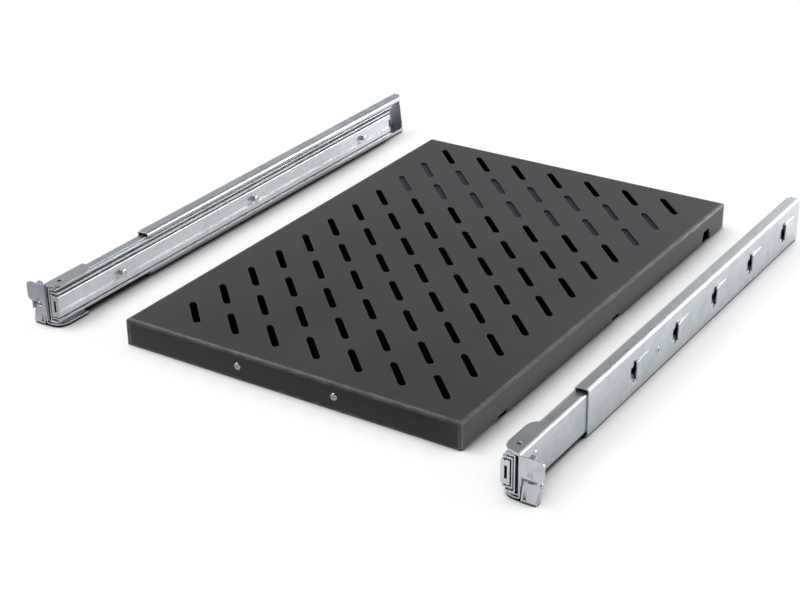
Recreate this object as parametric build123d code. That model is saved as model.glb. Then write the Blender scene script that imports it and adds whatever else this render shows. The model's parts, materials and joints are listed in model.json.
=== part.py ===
"""Perforated pull-out shelf for a server rack, with its two telescopic slides lying beside it.

Millimetres, Z up from the floor. The origin is on the floor, in the middle of the set's footprint.
A slide is drawn in its own terms: u runs from the outer face of its rail towards the shelf, y from
the face of its head to the back, and v up from the floor. The right slide is the mirror image.
"""
import os
from math import cos, radians, sin

from build123d import *

os.makedirs("parts", exist_ok=True)

# Shelf tray
SHELF_WIDTH = 409.0
SHELF_DEPTH = 600.0
SHELF_HEIGHT = 30.0
TRAY_SHEET = 1.5
TRAY_BEND = 2.5
CORNER_SEAM = 0.8
SLOT_COLUMNS = 7
SLOT_ROWS = 11
SLOT_PITCH = 50.8
SLOT_LENGTH = 50.0
SLOT_WIDTH = 8.0
SLOT_TURN = -45.0
FIRST_ROW = 49.2
NOTCH_PLACES = (76.0, 317.0)
NOTCH_LENGTH = 16.0
NOTCH_DEPTH = 4.0
REAR_NOTCH_PLACE = 551.0
REAR_NOTCH_DEPTH = 14.0

# Channel under the tray, below the ninth and tenth rows of slots
STIFFENER_PLACE = 481.0
STIFFENER_WIDTH = 100.0
STIFFENER_HEIGHT = 20.0
STIFFENER_SHEET = 1.2
STIFFENER_END_GAP = 1.0

# Two screws in the front flange
FRONT_SCREW_PITCH = 118.0
FRONT_SCREW_HEIGHT = 15.0
FRONT_SCREW_THREAD = 4.0
FRONT_SCREW_HEAD = 8.0
FRONT_SCREW_HEAD_HEIGHT = 1.6
FRONT_NUT_SIZE = 7.0
FRONT_NUT_THICKNESS = 2.4

# Where the slides lie, from the sides and the front of the shelf
LEFT_GAP = 103.5
RIGHT_GAP = 88.5
LEFT_FRONT = -13.0
RIGHT_FRONT = -46.0

# Outer rail, the rear bracket of a slide
RAIL_HEIGHT = 52.0
RAIL_DEPTH = 15.5
RAIL_SHEET = 1.5
RAIL_BEND = 2.0
RAIL_LENGTH = 526.0
RAIL_LIP = 5.5
RAIL_END_DEPTH = 10.0
RAIL_END_STEP = 14.0
RAIL_START_LEFT = 154.0
RAIL_START_RIGHT = 129.0
TAB_FIRST = 99.0
TAB_PITCH = 96.0
TAB_COUNT = 5
TAB_SLOT_HEIGHT = 25.0
TAB_SLOT_WIDTH = 4.0
TAB_WINDOW_HEIGHT = 13.0
TAB_WINDOW_LENGTH = 5.5
TAB_TONGUE_LENGTH = 28.0
TAB_TONGUE_HEIGHT = 19.0
TAB_TONGUE_RISE = 2.2

# Arm, the front bracket of a slide, which carries the ball slide and the head
NEST_GAP = 0.3
ARM_HEIGHT = 43.0
ARM_DEPTH = 11.6
ARM_SHEET = 1.5
ARM_LENGTH = 560.0
ARM_SLOT_START = 205.0
ARM_SLOT_LENGTH = 330.0
DEPTH_SCREW_PLACE = 150.0
DEPTH_SCREW_THREAD = 5.0
DEPTH_SCREW_HEAD = 8.0
DEPTH_SCREW_HEAD_HEIGHT = 1.2
DEPTH_NUT_SIZE = 8.0
DEPTH_NUT_THICKNESS = 2.4

# Ball slide
SPACER = 3.0
MEMBER_LENGTH = 650.0
OUTER_WEB = 1.4
OUTER_FLANGE = 1.6
MIDDLE_WEB = 1.2
MIDDLE_FLANGE = 1.8
INNER_WEB = 1.4
INNER_FLANGE = 1.8
INNER_DEPTH = 9.4
MEMBER_DEPTH = 10.6
BALL_RADIUS = 1.5
BALL_CLEARANCE = 0.05
RACE_DEPTH = 0.6
OUTER_RACE_EDGE = 1.4
INNER_RACE_EDGE = 1.5
CAGE_SHEET = 0.6
CAGE_LENGTH = 300.0
CAGE_START = 130.0
BALLS_IN_ROW = 3
BALL_SIDES = 6
BALL_RINGS = (-66.0, -22.0, 22.0, 66.0)
RIVET_RADIUS = 3.0
RIVET_HEAD = 1.0
RIVET_FIRST = 70.0
RIVET_PITCH = 150.0
RIVET_COUNT = 4
BUFFER_LENGTH = 8.0
BEAD_WIDTH = 11.0
BEAD_DEPTH = 2.4
NOSE_SHEET = 1.4
NOSE_SLOT = 4.0
NOSE_SLOT_HEIGHT = 13.5

# Studs that the shelf hangs on
STUD_RADIUS = 3.0
STUD_LENGTH = 4.0
STUD_HEAD_RADIUS = 4.5
STUD_HEAD_LENGTH = 1.2

# Head at the front of the arm
HEAD_SHEET = 1.5
SADDLE_LENGTH = 60.0
SADDLE_WALL_LENGTH = 43.0
SADDLE_HEIGHT = 47.6
SADDLE_DEPTH = 21.0
SADDLE_CORNER = 14.0
LEAF_REACH = 23.6
LEAF_HEIGHT = 22.0
LEAF_CORNER = 5.0
WINDOW = 6.0
WINDOW_DROP = 18.0
TOP_WINDOW = 5.0
HOOK_WIDTH = 5.5
HOOK_LENGTH = 6.0
HOOK_RISE = 1.0
WINDOW_PLACE = -9.2
TOP_WINDOW_PLACE = 15.0
HEAD_RIVET_PLACE = 27.0

# Thumb lever under the head
LEVER_WIDTH = 15.4
LEVER_MIDDLE = -8.6
LEVER_BOTTOM = 0.4
LEVER_PIVOT_HEIGHT = 19.0
LEVER_PIVOT_PLACE = 6.0
LEVER_BARREL = 3.4
LEVER_TOP_THICKNESS = 2.2
LEVER_FOOT = 8.0
LEVER_FOOT_OUT = 2.6
LEVER_TOE = 1.0
LEVER_TOE_HEIGHT = 2.0
LEVER_WALL = 2.0
LEVER_SOLE = 3.0
PIN_RADIUS = 1.5
PIN_HEAD = 0.8
PIN_CLEARANCE = 0.1
EAR_SHEET = 1.5
EAR_GAP = 0.4
EAR_OVERLAP = 2.0
EAR_DEPTH = 10.0
ROUND_SIDES = 12
RIVET_SIDES = 8
SLOT_FACETS = 3
SPRING_WIRE = 0.7
SPRING_SPACE = 5.0
SPRING_TURNS = 3

RIVET_HOLE = RIVET_RADIUS / 2 + BALL_CLEARANCE
PIN_HOLE = PIN_RADIUS + PIN_CLEARANCE
RAIL_MIDDLE = RAIL_HEIGHT / 2
ARM_OUTER = RAIL_SHEET + NEST_GAP
ARM_INNER = ARM_OUTER + ARM_SHEET
OUTER_START = ARM_INNER + SPACER
CAGE_GAP = CAGE_SHEET + 2 * NEST_GAP
MIDDLE_START = OUTER_START + OUTER_WEB + CAGE_GAP
INNER_TIP = MIDDLE_START + MIDDLE_WEB + CAGE_GAP
INNER_FACE = INNER_TIP + INNER_DEPTH
GROOVE = BALL_RADIUS + BALL_CLEARANCE
OUTER_HALF = ARM_HEIGHT / 2 - ARM_SHEET - NEST_GAP
OUTER_BALL_V = OUTER_HALF - OUTER_FLANGE + RACE_DEPTH - GROOVE
MIDDLE_HALF = OUTER_BALL_V - GROOVE + RACE_DEPTH
INNER_BALL_V = MIDDLE_HALF - MIDDLE_FLANGE + RACE_DEPTH - GROOVE
INNER_HALF = INNER_BALL_V - GROOVE + RACE_DEPTH
OUTER_BALL_U = OUTER_START + MEMBER_DEPTH - GROOVE - OUTER_RACE_EDGE
INNER_BALL_U = MIDDLE_START + MEMBER_DEPTH - GROOVE - INNER_RACE_EDGE
LEAF_TOP = RAIL_MIDDLE + ARM_HEIGHT / 2
TRAVELLING_LENGTH = MEMBER_LENGTH - BUFFER_LENGTH - 1
LEAF_BOTTOM = LEAF_TOP - LEAF_HEIGHT


def block(low, high):
    """A box between two opposite corners."""
    size = [b - a for a, b in zip(low, high)]
    middle = [(a + b) / 2 for a, b in zip(low, high)]
    return Pos(*middle) * Box(*size)


def along(section, start, end):
    """A section drawn in u and v, carried along y from start to end."""
    return extrude(Plane.XZ.offset(-start) * section, amount=start - end)


def folded(points, sheet, bend):
    """A strip of sheet metal seen on its edge: the middle line, with rounded bends."""
    return trace(FilletPolyline(*points, radius=bend), line_width=sheet)


def channel(start, depth, half, web, flange, opens=1):
    """A channel section with a thin web at start, opening towards +u or -u."""
    outside = Pos(start + opens * depth / 2, 0) * Rectangle(depth, 2 * half)
    corners = [v for v in outside.vertices() if abs(v.X - start) < 0.01]
    outside = fillet(corners, min(web, flange) * 0.9)
    inside = Rectangle(depth, 2 * (half - flange))
    return outside - Pos(start + opens * (web + depth / 2), 0) * inside


def grooves(section, u, v):
    """A section with a ball race cut into its top and its bottom flange."""
    return section - [Pos(u, side * v) * Circle(GROOVE) for side in (-1, 1)]


def facet_bar(radius, start, end, y, v, sides=ROUND_SIDES):
    """A bar along u for a small fastener, with flat sides in place of a round."""
    section = Plane.YZ * Pos(y, v, start) * RegularPolygon(radius, sides)
    return extrude(section, amount=end - start)


def oblong(length, width):
    """The outline of a slot, each round end drawn as a few facets."""
    radius = width / 2
    reach = length / 2 - radius
    turns = [radians(-90 + 180 * step / SLOT_FACETS) for step in range(SLOT_FACETS + 1)]
    corners = [(side * (reach + radius * cos(turn)), side * radius * sin(turn))
               for side in (1, -1) for turn in turns]
    return make_face(Polyline(*corners, close=True))


# The shelf stands with its front left bottom corner at the origin until the set is centred


def shelf_tray():
    """A tray folded down on all four sides, with the slots, seams and notches."""
    size = (SHELF_WIDTH, SHELF_DEPTH, SHELF_HEIGHT)
    outside = block((0, 0, 0), size)
    outside = fillet(outside.faces().sort_by(Axis.Z)[-1].edges(), TRAY_BEND)
    low = (TRAY_SHEET, TRAY_SHEET, -TRAY_SHEET)
    inside = block(low, [side - TRAY_SHEET for side in size])
    inside = fillet(inside.faces().sort_by(Axis.Z)[-1].edges(), TRAY_BEND - TRAY_SHEET)
    tray = outside - inside
    side = (SHELF_WIDTH - (SLOT_COLUMNS - 1) * SLOT_PITCH) / 2
    slot = extrude(oblong(SLOT_LENGTH, SLOT_WIDTH), amount=4 * TRAY_SHEET, both=True)
    slot = Rot(0, 0, SLOT_TURN) * slot
    places = [(side + column * SLOT_PITCH, FIRST_ROW + row * SLOT_PITCH)
              for column in range(SLOT_COLUMNS) for row in range(SLOT_ROWS)]
    cuts = [Pos(x, y, SHELF_HEIGHT) * slot for x, y in places]
    seam_top = SHELF_HEIGHT - 2 * TRAY_BEND
    for x in (TRAY_SHEET, SHELF_WIDTH - TRAY_SHEET - CORNER_SEAM):
        for y in (0, SHELF_DEPTH):
            cuts.append(block((x, y - TRAY_SHEET, -1), (x + CORNER_SEAM, y + TRAY_SHEET, seam_top)))
    between = block((2 * TRAY_SHEET, 0, -1), (SHELF_WIDTH - 2 * TRAY_SHEET, SHELF_DEPTH, SHELF_HEIGHT))
    for place in NOTCH_PLACES:
        cuts.append(notch(place, NOTCH_DEPTH) - between)
    cuts.append(notch(REAR_NOTCH_PLACE, REAR_NOTCH_DEPTH) - between)
    for x in front_screw_places():
        hole = RegularPolygon(FRONT_SCREW_THREAD / 2 + NEST_GAP, ROUND_SIDES)
        hole = extrude(hole, amount=2 * TRAY_SHEET, both=True)
        cuts.append(Pos(x, 0, FRONT_SCREW_HEIGHT) * Rot(90, 0, 0) * hole)
    return tray - cuts


def notch(place, depth):
    """A bar across the whole shelf, wider at its foot, which cuts a notch in both side flanges."""
    half = NOTCH_LENGTH / 2
    foot = half + depth / 4
    outline = Polyline((place - foot, 0), (place - half, depth), (place + half, depth),
                       (place + foot, 0), close=True)
    return extrude(Plane.YZ * make_face(outline), amount=SHELF_WIDTH + TRAY_SHEET)


def front_screw_places():
    """The two places across the front flange, either side of its middle."""
    return [SHELF_WIDTH / 2 + side * FRONT_SCREW_PITCH / 2 for side in (-1, 1)]


def shelf_stiffener():
    """A channel of thin sheet, its back welded against the underside of the tray."""
    y = STIFFENER_PLACE
    top = SHELF_HEIGHT - TRAY_SHEET
    edge = STIFFENER_SHEET / 2
    left, right = y - STIFFENER_WIDTH / 2 + edge, y + STIFFENER_WIDTH / 2 - edge
    bottom = top - STIFFENER_HEIGHT
    lip = STIFFENER_HEIGHT / 2
    section = trace(Polyline((left - lip, bottom + edge), (left, bottom + edge), (left, top - edge),
                             (right, top - edge), (right, bottom + edge), (right + lip, bottom + edge)),
                    line_width=STIFFENER_SHEET)
    end = TRAY_SHEET + STIFFENER_END_GAP
    return extrude(Plane.YZ.offset(end) * section, amount=SHELF_WIDTH - 2 * end)


def front_screws():
    """Low screw heads with their threaded ends, one solid each."""
    shank_length = TRAY_SHEET + FRONT_NUT_THICKNESS + 1
    shank = extrude(RegularPolygon(FRONT_SCREW_THREAD / 2, ROUND_SIDES), amount=-shank_length)
    head = extrude(RegularPolygon(FRONT_SCREW_HEAD / 2, ROUND_SIDES), amount=FRONT_SCREW_HEAD_HEIGHT)
    head = chamfer(head.faces().sort_by(Axis.Z)[-1].edges(), FRONT_SCREW_HEAD_HEIGHT / 2)
    screw = Rot(90, 0, 0) * (head + shank)
    return [Pos(x, 0, FRONT_SCREW_HEIGHT) * screw for x in front_screw_places()]


def front_nuts():
    """Hexagon nuts against the back of the front flange."""
    nut = RegularPolygon(FRONT_NUT_SIZE / 2, 6, major_radius=False)
    nut -= RegularPolygon(FRONT_SCREW_THREAD / 2 + BALL_CLEARANCE, ROUND_SIDES)
    nut = Rot(90, 0, 0) * extrude(nut, amount=-FRONT_NUT_THICKNESS)
    return [Pos(x, TRAY_SHEET, FRONT_SCREW_HEIGHT) * nut for x in front_screw_places()]


# Pieces of one slide, v measured from the middle of the rail until they are placed


def rear_bracket(start):
    """The outer rail: a lipped channel with a row of slots, lanced tongues and a folded rear end."""
    edge = RAIL_SHEET / 2
    half = RAIL_HEIGHT / 2
    end = start + RAIL_LENGTH
    tip = (RAIL_DEPTH - edge, half - RAIL_LIP)
    section = folded([(tip[0], -tip[1]), (tip[0], edge - half), (edge, edge - half),
                      (edge, half - edge), (tip[0], half - edge), tip], RAIL_SHEET, RAIL_BEND)
    rail = along(section, start, end)
    end_plate = make_face(Polyline((RAIL_SHEET, -half + edge), (tip[0], -half + edge),
                                   (tip[0], RAIL_END_STEP - half), (RAIL_END_DEPTH, half - edge),
                                   (RAIL_SHEET, half - edge), close=True))
    rail += along(end_plate, end - RAIL_SHEET, end)
    spare = RAIL_DEPTH - RAIL_END_DEPTH
    corner = make_face(Polyline((RAIL_END_DEPTH, end + 1), (RAIL_DEPTH + 1, end - 2 * spare),
                                (RAIL_DEPTH + 1, end + 1), close=True))
    cuts = [Pos(0, 0, half - RAIL_LIP - 1) * extrude(corner, amount=RAIL_LIP + 2)]
    cuts.append(facet_bar(DEPTH_SCREW_THREAD / 2 + NEST_GAP, -1, RAIL_DEPTH / 2,
                          start + DEPTH_SCREW_PLACE, 0))
    tongues = []
    for number in range(TAB_COUNT):
        y = start + TAB_FIRST + number * TAB_PITCH
        back = y + TAB_TONGUE_LENGTH
        slot_half, tongue_half = TAB_SLOT_HEIGHT / 2, TAB_TONGUE_HEIGHT / 2
        window_half = TAB_WINDOW_HEIGHT / 2
        front = y - TAB_SLOT_WIDTH
        cuts.append(block((-1, front, -slot_half), (2 * RAIL_SHEET, y, slot_half)))
        cuts.append(block((-1, front - TAB_WINDOW_LENGTH, -window_half), (2 * RAIL_SHEET, y, window_half)))
        cuts.append(block((-1, front, -tongue_half), (2 * RAIL_SHEET, back, tongue_half)))
        tongue = make_face(Polyline((-TAB_TONGUE_RISE, y), (RAIL_SHEET - TAB_TONGUE_RISE, y),
                                    (RAIL_SHEET, back), (0, back), close=True))
        tongues.append(Pos(0, 0, -tongue_half) * extrude(tongue, amount=TAB_TONGUE_HEIGHT))
    return rail - cuts + tongues


def front_bracket():
    """The arm: a channel nested in the rail, with the long slot that sets the depth."""
    edge = ARM_SHEET / 2
    half = ARM_HEIGHT / 2
    section = folded([(ARM_OUTER + ARM_DEPTH, edge - half), (ARM_OUTER + edge, edge - half),
                      (ARM_OUTER + edge, half - edge), (ARM_OUTER + ARM_DEPTH, half - edge)],
                     ARM_SHEET, RAIL_BEND)
    arm = along(section, HEAD_SHEET, HEAD_SHEET + ARM_LENGTH)
    slot = oblong(ARM_SLOT_LENGTH, DEPTH_SCREW_THREAD + 2 * NEST_GAP)
    slot = Rot(0, 90, 0) * Rot(0, 0, 90) * extrude(slot, amount=ARM_SHEET, both=True)
    slot = Pos(ARM_OUTER, ARM_SLOT_START + ARM_SLOT_LENGTH / 2, 0) * slot
    return arm - slot - rivet_holes(ARM_OUTER, ARM_INNER) - head_rivet_bars(RIVET_HOLE)


def rivet_places():
    """Where the ball slide is riveted to the arm, by turns above and below the long slot."""
    return [(RIVET_FIRST + number * RIVET_PITCH, (-1) ** number * OUTER_HALF / 2)
            for number in range(RIVET_COUNT) if RIVET_FIRST + number * RIVET_PITCH < ARM_LENGTH]


def rivet_holes(start, end):
    """The holes for those rivets, through a wall between two values of u."""
    return [facet_bar(RIVET_HOLE, start - 1, end + 1, y, v, RIVET_SIDES) for y, v in rivet_places()]


def member_rivets():
    """Rivets with a spacer collar, which hold the ball slide clear of the arm."""
    rivets = []
    for y, v in rivet_places():
        shank = facet_bar(RIVET_RADIUS / 2, ARM_OUTER, OUTER_START + OUTER_WEB, y, v, RIVET_SIDES)
        rivets.append(shank + facet_bar(RIVET_RADIUS, ARM_INNER, OUTER_START, y, v, RIVET_SIDES))
    return rivets


def slide_outer_member():
    """The fixed race of the ball slide."""
    section = channel(OUTER_START, MEMBER_DEPTH, OUTER_HALF, OUTER_WEB, OUTER_FLANGE)
    section = grooves(section, OUTER_BALL_U, OUTER_BALL_V)
    return along(section, 1, 1 + MEMBER_LENGTH) - rivet_holes(OUTER_START, OUTER_START + OUTER_WEB)


def slide_middle_member():
    """The travelling race, with balls outside and inside its flanges."""
    section = channel(MIDDLE_START, MEMBER_DEPTH, MIDDLE_HALF, MIDDLE_WEB, MIDDLE_FLANGE)
    section = grooves(section, OUTER_BALL_U, OUTER_BALL_V)
    section = grooves(section, INNER_BALL_U, INNER_BALL_V)
    return along(section, 1, 1 + TRAVELLING_LENGTH)


def slide_inner_member():
    """The race that carries the shelf: a beaded web outwards, stud holes and a folded, slotted nose."""
    section = channel(INNER_FACE, INNER_DEPTH, INNER_HALF, INNER_WEB, INNER_FLANGE, opens=-1)
    section = grooves(section, INNER_BALL_U, INNER_BALL_V)
    bead_web = Rectangle(BEAD_DEPTH, BEAD_WIDTH + 2 * INNER_WEB)
    section += Pos(INNER_FACE - INNER_WEB - BEAD_DEPTH / 2, 0) * bead_web
    section -= Pos(INNER_FACE, 0) * Rectangle(2 * BEAD_DEPTH, BEAD_WIDTH)
    member = along(section, 0, TRAVELLING_LENGTH)
    inside = 2 * (INNER_HALF - INNER_FLANGE)
    nose = Pos(INNER_FACE - INNER_DEPTH / 2, 0) * Rectangle(INNER_DEPTH, inside)
    nose -= Pos(INNER_FACE - INNER_DEPTH / 2, 0) * Rectangle(NOSE_SLOT, NOSE_SLOT_HEIGHT)
    member += along(nose, 0, NOSE_SHEET)
    return member - [facet_bar(RIVET_HOLE, INNER_TIP, INNER_FACE + 1, y, 0, RIVET_SIDES)
                     for y in stud_places()]


def stud_places():
    """The studs lie as far apart as the notches in the side of the shelf."""
    return [place + SLOT_PITCH / 2 for place in NOTCH_PLACES + (REAR_NOTCH_PLACE,)]


def carrier_studs():
    """Headed studs riveted through the floor of the inner member's bead."""
    studs = []
    floor = INNER_FACE - BEAD_DEPTH
    root = floor - INNER_WEB
    tip = INNER_FACE + STUD_LENGTH
    for y in stud_places():
        stud = facet_bar(STUD_RADIUS / 2, root - RIVET_HEAD, floor, y, 0, RIVET_SIDES)
        stud += facet_bar(STUD_RADIUS, root - RIVET_HEAD, root, y, 0, RIVET_SIDES)
        stud += facet_bar(STUD_RADIUS, floor, tip, y, 0)
        stud += facet_bar(STUD_HEAD_RADIUS, tip - STUD_HEAD_LENGTH, tip, y, 0)
        studs.append(stud)
    return studs


def ball_places(u, v):
    """The centres of the balls in one cage."""
    pitch = CAGE_LENGTH / BALLS_IN_ROW
    return [(u, CAGE_START + (number + 0.5) * pitch, side * v)
            for number in range(BALLS_IN_ROW) for side in (-1, 1)]


def ball_cage(span, ball_u, ball_v):
    """A thin strip folded round the member inside it, with a hole for each ball."""
    start, lip_end = span
    edge = CAGE_SHEET / 2
    section = trace(Polyline((lip_end, -ball_v), (start + edge, -ball_v), (start + edge, ball_v),
                             (lip_end, ball_v)), line_width=CAGE_SHEET)
    cage = along(section, CAGE_START, CAGE_START + CAGE_LENGTH)
    hole = extrude(RegularPolygon(BALL_RADIUS + 4 * BALL_CLEARANCE, BALL_SIDES), BALL_RADIUS, both=True)
    return cage - [Pos(*place) * hole for place in ball_places(ball_u, ball_v)]


def balls(ball_u, ball_v):
    """The balls of one cage, each a ball of flat facets between rings of latitude."""
    turns = [radians(turn) for turn in BALL_RINGS]
    rings = [Pos(0, 0, BALL_RADIUS * sin(turn)) * RegularPolygon(BALL_RADIUS * cos(turn), BALL_SIDES)
             for turn in turns]
    ball = loft(rings, ruled=True)
    return [Pos(*place) * ball for place in ball_places(ball_u, ball_v)]


def end_buffer():
    """A rubber block in the back of the outer member, which stops the middle one."""
    low = OUTER_START + OUTER_WEB
    end = 1 + MEMBER_LENGTH
    half = OUTER_HALF - OUTER_FLANGE
    return block((low, end - BUFFER_LENGTH, -half), (low + MEMBER_DEPTH / 2, end, half))


def depth_screw(start):
    """The screw that clamps the rail on the arm."""
    y = start + DEPTH_SCREW_PLACE
    head = facet_bar(DEPTH_SCREW_HEAD / 2, -DEPTH_SCREW_HEAD_HEIGHT, 0, y, 0)
    head = chamfer(head.faces().sort_by(Axis.X)[0].edges(), DEPTH_SCREW_HEAD_HEIGHT / 2)
    return head + facet_bar(DEPTH_SCREW_THREAD / 2, -NEST_GAP, OUTER_START - NEST_GAP, y, 0)


def depth_nut(start):
    """The square nut behind the arm."""
    half = DEPTH_NUT_SIZE / 2
    y = start + DEPTH_SCREW_PLACE
    low = ARM_INNER + NEST_GAP
    nut = block((low, y - half, -half), (low + DEPTH_NUT_THICKNESS, y + half, half))
    return nut - facet_bar(DEPTH_SCREW_THREAD / 2 + BALL_CLEARANCE, 0, OUTER_START, y, 0)


def head_plate():
    """The saddle round the front of the arm, with the leaf that meets the rack upright."""
    edge = HEAD_SHEET / 2
    half = SADDLE_HEIGHT / 2
    outer = ARM_OUTER - HEAD_SHEET
    section = folded([(SADDLE_DEPTH, edge - half), (outer + edge, edge - half),
                      (outer + edge, half - edge), (SADDLE_DEPTH, half - edge)], HEAD_SHEET, RAIL_BEND)
    saddle = along(section, 0, SADDLE_LENGTH)
    saddle &= extrude(saddle_plan(), amount=SADDLE_HEIGHT, both=True)
    wall = half - HEAD_SHEET - RAIL_BEND
    saddle -= block((outer - 1, SADDLE_WALL_LENGTH, -half - 1), (SADDLE_DEPTH + 1, SADDLE_LENGTH + 1, wall))
    leaf = block((-LEAF_REACH, 0, LEAF_BOTTOM - RAIL_MIDDLE),
                 (outer + edge, HEAD_SHEET, LEAF_TOP - RAIL_MIDDLE))
    leaf = fillet(leaf.edges().filter_by(Axis.Y).sort_by(Axis.X)[:2], LEAF_CORNER)
    window_v = LEAF_TOP - RAIL_MIDDLE - WINDOW_DROP
    cuts = [block((WINDOW_PLACE - WINDOW / 2, -1, window_v - WINDOW / 2),
                  (WINDOW_PLACE + WINDOW / 2, 2 * HEAD_SHEET, window_v + WINDOW / 2))]
    middle_u = (outer + SADDLE_DEPTH) / 2
    reach = TOP_WINDOW / 2
    cuts.append(block((middle_u - reach, TOP_WINDOW_PLACE - reach, half - 2 * HEAD_SHEET),
                      (middle_u + reach, TOP_WINDOW_PLACE + reach, half + 1)))
    cuts += head_rivet_bars(RIVET_HOLE)
    low, high = lever_span()
    cuts.append(facet_bar(PIN_HOLE, low - 2 * EAR_SHEET, high + EAR_GAP + EAR_SHEET,
                          LEVER_PIVOT_PLACE, LEVER_PIVOT_HEIGHT - RAIL_MIDDLE))
    return saddle + leaf + lever_ears() - cuts


def saddle_plan():
    """The saddle seen from above: its two free corners are cut round in a few facets."""
    turns = [radians(90 * step / SLOT_FACETS) for step in range(SLOT_FACETS + 1)]
    ends = [(SADDLE_DEPTH - SADDLE_CORNER * (1 - cos(turn)), SADDLE_CORNER * (1 - sin(turn)))
            for turn in turns]
    others = [(u, SADDLE_LENGTH - y) for u, y in ends]
    return make_face(Polyline((-1, 0), *reversed(ends), *others, (-1, SADDLE_LENGTH), close=True))


def lever_span():
    """The two ends of the lever along u."""
    return LEVER_MIDDLE - LEVER_WIDTH / 2, LEVER_MIDDLE + LEVER_WIDTH / 2


def lever_ears():
    """Two ears folded back from the foot of the leaf, for the pivot of the lever."""
    low, high = lever_span()
    foot = LEVER_PIVOT_HEIGHT - RAIL_MIDDLE - 2 * PIN_RADIUS
    top = LEAF_BOTTOM - RAIL_MIDDLE + EAR_OVERLAP
    return [block((start, 0, foot), (start + EAR_SHEET, EAR_DEPTH, top))
            for start in (low - EAR_GAP - EAR_SHEET, high + EAR_GAP)]


def head_rivet_bars(radius):
    """Bars through the saddle and the arm where the two are riveted."""
    outer = ARM_OUTER - HEAD_SHEET
    return [facet_bar(radius, outer - 1, ARM_INNER + 1, HEAD_RIVET_PLACE, side * ARM_HEIGHT / 4, RIVET_SIDES)
            for side in (-1, 1)]


def head_rivets():
    """Flat rivets that hold the head on the arm."""
    outer = ARM_OUTER - HEAD_SHEET
    y = HEAD_RIVET_PLACE
    rivets = []
    for v in (-ARM_HEIGHT / 4, ARM_HEIGHT / 4):
        rivet = facet_bar(RIVET_RADIUS / 2, outer, ARM_INNER, y, v, RIVET_SIDES)
        rivet += facet_bar(RIVET_RADIUS, ARM_INNER, ARM_INNER + RIVET_HEAD, y, v, RIVET_SIDES)
        rivet += facet_bar(RIVET_RADIUS, outer - RIVET_HEAD, outer, y, v, RIVET_SIDES)
        rivets.append(rivet)
    return rivets


def head_hook():
    """A square lug on the back of the leaf that enters a square hole of the upright and hooks up."""
    half = HOOK_WIDTH / 2
    top = LEAF_TOP - RAIL_MIDDLE
    v = top - HOOK_RISE - half
    middle = HEAD_SHEET + HOOK_LENGTH / 2
    back = HEAD_SHEET + HOOK_LENGTH
    hook = block((WINDOW_PLACE - half, HEAD_SHEET, v - half), (WINDOW_PLACE + half, back, v + half))
    return hook + block((WINDOW_PLACE - half, middle, v), (WINDOW_PLACE + half, back, top))


def lock_lever():
    """A thumb wedge that thickens towards its foot, on a barrel round the pivot."""
    low, high = lever_span()
    pivot_v = LEVER_PIVOT_HEIGHT - RAIL_MIDDLE
    foot_v = LEVER_BOTTOM - RAIL_MIDDLE
    front = LEVER_PIVOT_PLACE - LEVER_BARREL
    foot = front - LEVER_FOOT_OUT
    outline = Polyline((front, pivot_v), (foot - LEVER_TOE, foot_v + LEVER_TOE_HEIGHT), (foot, foot_v),
                       (foot + LEVER_FOOT, foot_v), (front + LEVER_TOP_THICKNESS, pivot_v), close=True)
    blade = extrude(Plane.YZ.offset(low) * make_face(outline), amount=high - low)
    lever = blade + facet_bar(LEVER_BARREL, low, high, LEVER_PIVOT_PLACE, pivot_v)
    waist = (low + high) / 2
    spring_low, spring_high = waist - SPRING_SPACE / 2, waist + SPRING_SPACE / 2
    recess = block((spring_high, foot - 2 * LEVER_TOE, foot_v + LEVER_SOLE),
                   (high - LEVER_WALL, front - LEVER_TOE, pivot_v - LEVER_BARREL))
    spring_slot = block((spring_low, front + EAR_GAP, pivot_v - 2 * LEVER_BARREL),
                        (spring_high, EAR_DEPTH + 1, pivot_v + 2 * LEVER_BARREL))
    bore = facet_bar(PIN_HOLE, low - 1, high + 1, LEVER_PIVOT_PLACE, pivot_v)
    return lever - recess - spring_slot - bore


def lever_pin():
    """The pivot, headed at its outer end."""
    low, high = lever_span()
    start, end = low - EAR_GAP - EAR_SHEET, high + EAR_GAP + EAR_SHEET
    pivot_v = LEVER_PIVOT_HEIGHT - RAIL_MIDDLE
    tip = start - RIVET_HEAD
    pin = facet_bar(PIN_RADIUS, tip, end, LEVER_PIVOT_PLACE, pivot_v)
    return pin + facet_bar(PIN_RADIUS + PIN_HEAD, tip, start, LEVER_PIVOT_PLACE, pivot_v)


def lever_spring():
    """A torsion spring round the pivot, drawn as its stacked turns."""
    low, high = lever_span()
    bore = PIN_RADIUS + 2 * PIN_CLEARANCE
    ring = RegularPolygon(bore + SPRING_WIRE, RIVET_SIDES) - RegularPolygon(bore, RIVET_SIDES)
    turn = extrude(Plane.YZ * ring, amount=SPRING_WIRE / 2, both=True)
    first = (low + high) / 2 - (SPRING_TURNS - 1) * SPRING_WIRE
    pivot_v = LEVER_PIVOT_HEIGHT - RAIL_MIDDLE
    return [Pos(first + 2 * number * SPRING_WIRE, LEVER_PIVOT_PLACE, pivot_v) * turn
            for number in range(SPRING_TURNS)]


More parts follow.
